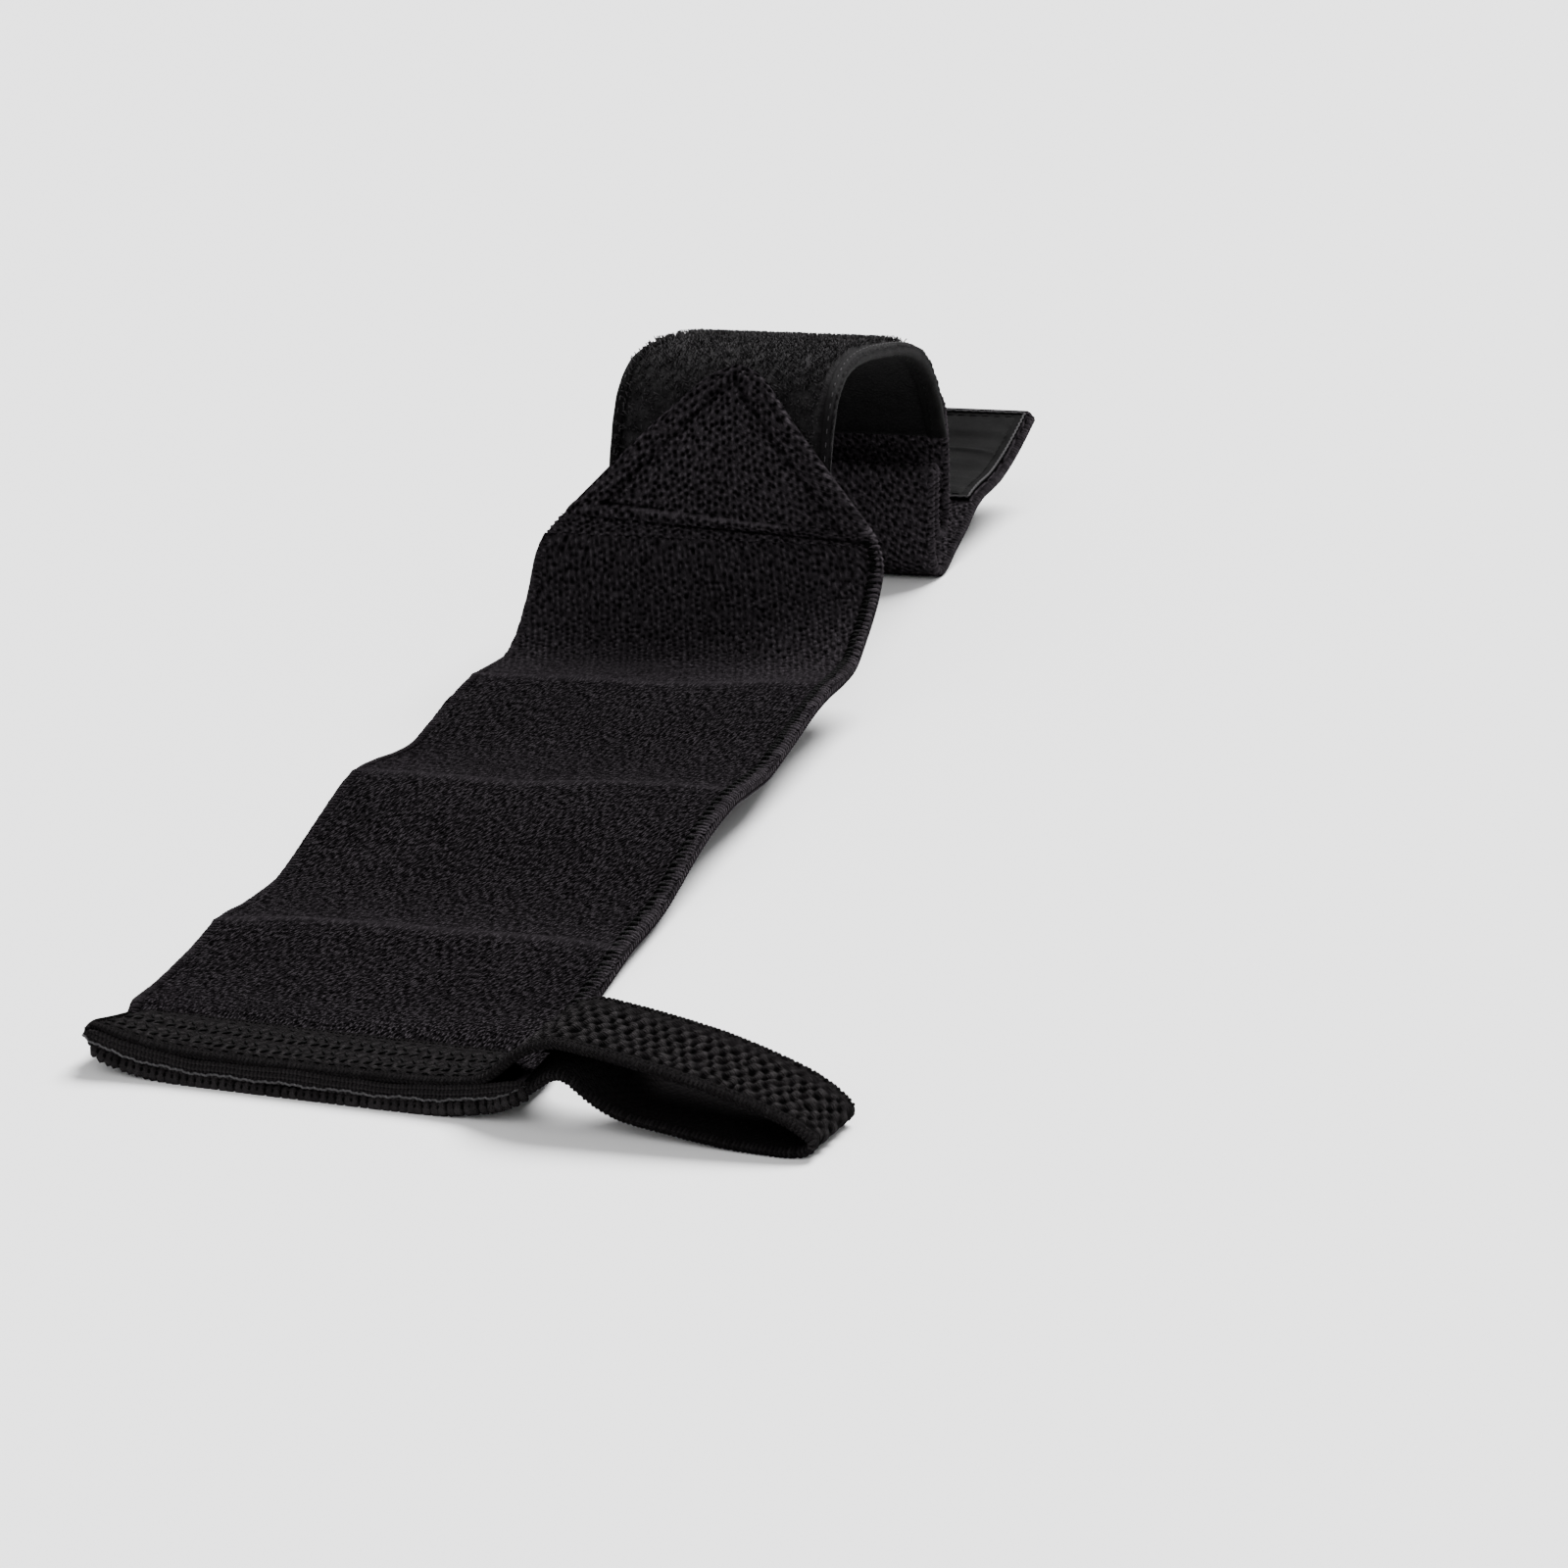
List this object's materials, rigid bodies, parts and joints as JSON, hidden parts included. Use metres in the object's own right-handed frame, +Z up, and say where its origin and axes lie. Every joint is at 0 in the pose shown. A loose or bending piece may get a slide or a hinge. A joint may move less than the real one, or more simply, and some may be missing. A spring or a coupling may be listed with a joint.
{
  "type": "wrist wrap",
  "caption": "Unrolled elastic wrist wrap: wide knitted band with a webbing thumb loop at its hem and a folded point sewn to a narrow hook-and-loop closure strip ending in a tab.",
  "frame": {"origin": "centre of the wrap's footprint, on the floor it lies on", "axes": "+X across the band towards the thumb loop, +Y along the wrap from the thumb loop to the tab, +Z up from the floor"},
  "size_m": [0.1384, 0.5374, 0.0712],
  "materials": {
    "knit": "heavy black elastic knit, matt",
    "webbing": "black braided elastic webbing, matt",
    "pile": "black looped pile, very matt",
    "tape": "black woven edge tape, slightly smooth",
    "satin": "black woven satin, soft sheen",
    "hook": "black moulded hook tape"
  },
  "bodies": {
    "root": {"elastic_band": "knit", "thumb_loop": "webbing", "pile_panel": "pile", "edge_binding_left": "tape", "edge_binding_right": "tape", "tail_band": "knit", "label_patch": "satin", "hook_patch": "hook"}
  },
  "joints": []
}
